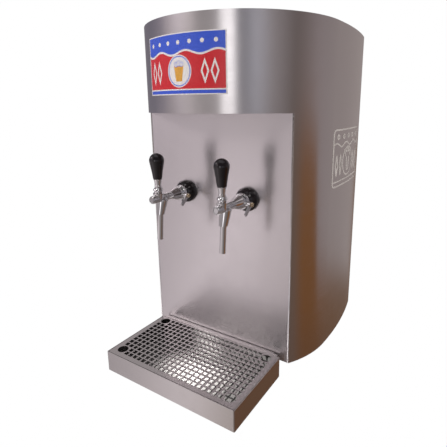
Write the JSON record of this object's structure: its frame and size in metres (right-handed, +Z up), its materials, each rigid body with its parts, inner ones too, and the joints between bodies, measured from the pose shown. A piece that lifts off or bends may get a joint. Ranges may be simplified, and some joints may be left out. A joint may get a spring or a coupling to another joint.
{
  "type": "jockey box beer cooler",
  "caption": "Countertop ice-well beer cooler with a rounded brushed steel casing, overhanging header, lever taps with flow control, hinged lid and a lift-off drip tray with a perforated grille",
  "frame": {"origin": "On the table, under the middle of the whole object's bounding box", "axes": "+Z up; the taps and tray face -Y; +X to the right of someone facing the taps"},
  "size_m": [0.413, 0.5684, 0.704],
  "materials": {
    "casing_brushed_steel": "vertical-grain brushed stainless sheet, satin with soft reflections",
    "panel_brushed_steel": "fine brushed stainless sheet, satin",
    "tray_brushed_steel": "brushed stainless sheet, wear from glasses",
    "grille_steel": "perforated stainless sheet, satin and a little darker than the tray",
    "inner_satin_steel": "satin stainless sheet",
    "lid_brushed_steel": "brushed stainless sheet",
    "foot_rubber": "matt black rubber",
    "gasket_rubber": "soft grey sealing rubber",
    "insulation_foam": "rigid cream foam",
    "zinc_fastener": "plain steel fasteners",
    "hinge_steel": "satin stainless hinge leaf",
    "badge_print": "printed glossy label in blue, red and white bands",
    "black_gloss": "moulded glossy black",
    "shank_steel": "turned stainless",
    "tap_chrome": "polished chrome plate",
    "plunger_plastic": "dark moulded plunger",
    "coil_steel": "drawn stainless tube",
    "union_steel": "turned stainless union",
    "valve_brass": "nickel-worn brass valve body",
    "lever_red": "red coated steel handle"
  },
  "bodies": {
    "cabinet": {"casing_wrap": "casing_brushed_steel", "front_panel": "panel_brushed_steel", "header_soffit": "panel_brushed_steel", "base_plate": "inner_satin_steel", "rubber_feet": "foot_rubber", "foot_screws": "zinc_fastener", "ice_tank": "inner_satin_steel", "top_deck": "inner_satin_steel", "wall_insulation": "insulation_foam", "hinge_body_leaves": "hinge_steel", "hinge_pins": "zinc_fastener", "front_badge": "badge_print", "tap_collar_left": "black_gloss", "tap_collar_right": "black_gloss", "tap_shank_left": "shank_steel", "tap_shank_right": "shank_steel", "shank_washers": "zinc_fastener", "shank_locknuts": "zinc_fastener", "tap_body_left": "tap_chrome", "tap_body_right": "tap_chrome", "coupling_rings": "tap_chrome", "front_caps": "tap_chrome", "tap_bonnet_left": "tap_chrome", "tap_bonnet_right": "tap_chrome", "pivot_pins": "zinc_fastener", "tap_spout_left": "tap_chrome", "tap_spout_right": "tap_chrome", "coil_left": "coil_steel", "coil_right": "coil_steel", "feed_line_left": "coil_steel", "feed_line_right": "coil_steel", "delivery_line_left": "coil_steel", "delivery_line_right": "coil_steel", "coil_unions": "shank_steel", "rear_plate": "inner_satin_steel", "plate_screws": "zinc_fastener", "inlet_union_left": "union_steel", "inlet_union_right": "union_steel", "inlet_nuts": "zinc_fastener", "drain_valve": "valve_brass", "drain_nut": "zinc_fastener", "tray_bracket": "tray_brushed_steel"},
    "lid": {"lid_pan": "lid_brushed_steel", "lid_liner": "inner_satin_steel", "lid_insulation": "insulation_foam", "lid_gasket": "gasket_rubber", "lid_handle": "lid_brushed_steel", "lid_handle_screws": "zinc_fastener", "hinge_lid_leaves": "hinge_steel"},
    "tray": {"drip_tray": "tray_brushed_steel"},
    "grille": {"tray_grille": "grille_steel"},
    "drain_handle": {"drain_lever": "lever_red"},
    "tap_handle_left": {"lever_stem_left": "tap_chrome", "lever_knob_left": "black_gloss"},
    "plunger_left": {"tap_plunger_left": "plunger_plastic"},
    "flow_handle_left": {"flow_lever_left": "tap_chrome"},
    "tap_handle_right": {"lever_stem_right": "tap_chrome", "lever_knob_right": "black_gloss"},
    "plunger_right": {"tap_plunger_right": "plunger_plastic"},
    "flow_handle_right": {"flow_lever_right": "tap_chrome"}
  },
  "joints": [
    {"name": "lid_hinge", "type": "hinge", "parent": "cabinet", "child": "lid", "pos_m": [0, 0.20925, 0.676], "axis": [-1, 0, 0], "range_deg": [0, 95]},
    {"name": "tray_lift", "type": "slide", "parent": "cabinet", "child": "tray", "axis": [0, 0, 1], "range_m": [0, 0.1]},
    {"name": "grille_lift", "type": "slide", "parent": "tray", "child": "grille", "axis": [0, 0, 1], "range_m": [0, 0.06]},
    {"name": "drain_turn", "type": "hinge", "parent": "cabinet", "child": "drain_handle", "pos_m": [0, 0.25025, 0.103], "axis": [0, 0, 1], "range_deg": [0, 90]},
    {"name": "tap_lever_left", "type": "hinge", "parent": "cabinet", "child": "tap_handle_left", "pos_m": [-0.0755, -0.19475, 0.369], "axis": [1, 0, 0], "range_deg": [0, 28]},
    {"name": "tap_plunger_left", "type": "slide", "parent": "cabinet", "child": "plunger_left", "axis": [0, 1, 0], "range_m": [0, 0.0062]},
    {"name": "flow_lever_left", "type": "hinge", "parent": "cabinet", "child": "flow_handle_left", "pos_m": [-0.05405, -0.13475, 0.352], "axis": [1, 0, 0], "range_deg": [-60, 40]},
    {"name": "tap_lever_right", "type": "hinge", "parent": "cabinet", "child": "tap_handle_right", "pos_m": [0.0755, -0.19475, 0.369], "axis": [1, 0, 0], "range_deg": [0, 28]},
    {"name": "tap_plunger_right", "type": "slide", "parent": "cabinet", "child": "plunger_right", "axis": [0, 1, 0], "range_m": [0, 0.0062]},
    {"name": "flow_lever_right", "type": "hinge", "parent": "cabinet", "child": "flow_handle_right", "pos_m": [0.09695, -0.13475, 0.352], "axis": [1, 0, 0], "range_deg": [-60, 40]}
  ],
  "couplings": [
    {"joint": "tap_plunger_left", "follows": "tap_lever_left", "m_per_rad": 0.01249},
    {"joint": "tap_plunger_right", "follows": "tap_lever_right", "m_per_rad": 0.01249}
  ]
}
